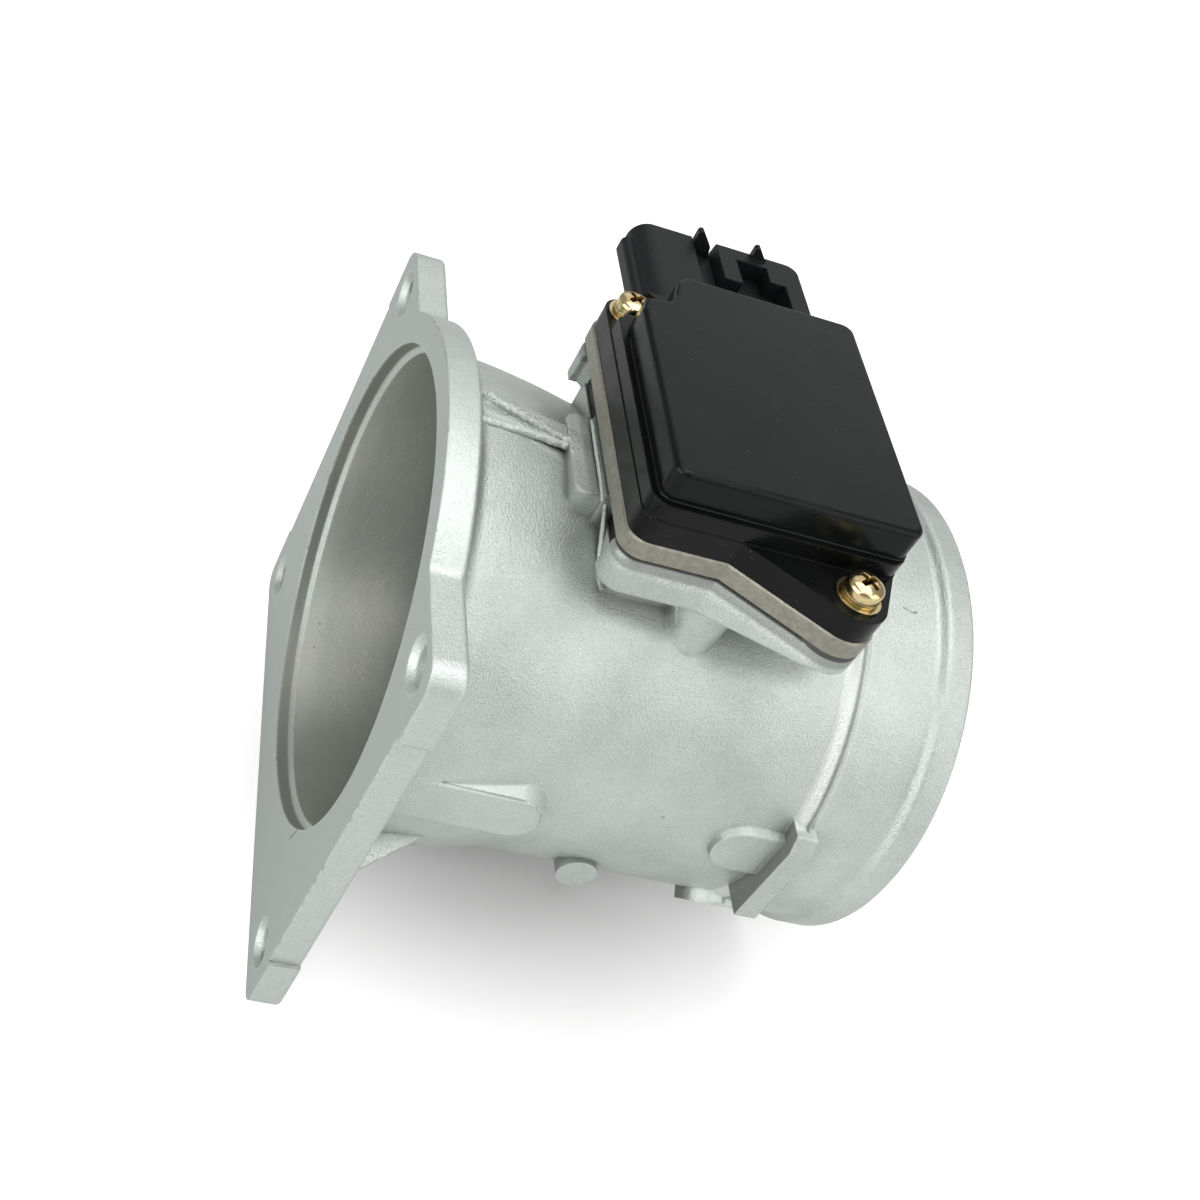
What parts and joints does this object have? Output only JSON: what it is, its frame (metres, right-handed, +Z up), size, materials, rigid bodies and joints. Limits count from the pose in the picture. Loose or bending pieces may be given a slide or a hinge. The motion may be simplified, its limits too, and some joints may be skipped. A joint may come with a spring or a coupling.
{
  "type": "mass airflow sensor",
  "caption": "Cast flanged duct with a plug-in hot-wire probe, a black electronics module and a side connector, measuring engine intake air.",
  "frame": {"origin": "centre of the inlet bore on the flange's mating face", "axes": "+X along the air flow from the flange to the outlet, +Z up through the electronics module, +Y towards the electrical connector"},
  "size_m": [0.0916, 0.0988, 0.1122],
  "materials": {
    "cast_alloy": "blasted casting",
    "plate_steel": "dull grey-beige",
    "black_resin": "satin",
    "cover_resin": "semi-gloss",
    "seal_gel": "matt",
    "seal_rubber": "matt",
    "tinned_pin": "tinned",
    "element_ceramic": "glazed",
    "board_ceramic": "matt",
    "chip_resin": "matt",
    "capacitor_ceramic": "matt",
    "lead_copper": "bare",
    "sleeve_brass": "bare",
    "zinc_yellow": "yellow-passivated zinc"
  },
  "bodies": {
    "root": {"meter_body": "cast_alloy", "base_plate": "plate_steel", "module_housing": "black_resin", "module_cover": "cover_resin", "cover_bead": "seal_gel", "probe_body": "black_resin", "duct_lid": "black_resin", "probe_seal": "seal_rubber", "sensor_pins": "tinned_pin", "hot_wire_element": "element_ceramic", "temperature_element": "element_ceramic", "board_glue": "seal_gel", "ceramic_board": "board_ceramic", "board_chips": "chip_resin", "chip_resistors": "chip_resin", "chip_capacitors": "capacitor_ceramic", "power_transistor": "chip_resin", "connector_terminals": "tinned_pin", "terminal_leads": "lead_copper", "pin_leads": "lead_copper", "compression_sleeves": "sleeve_brass", "flat_washers": "zinc_yellow", "spring_washers": "zinc_yellow", "module_screws": "zinc_yellow"}
  },
  "joints": []
}
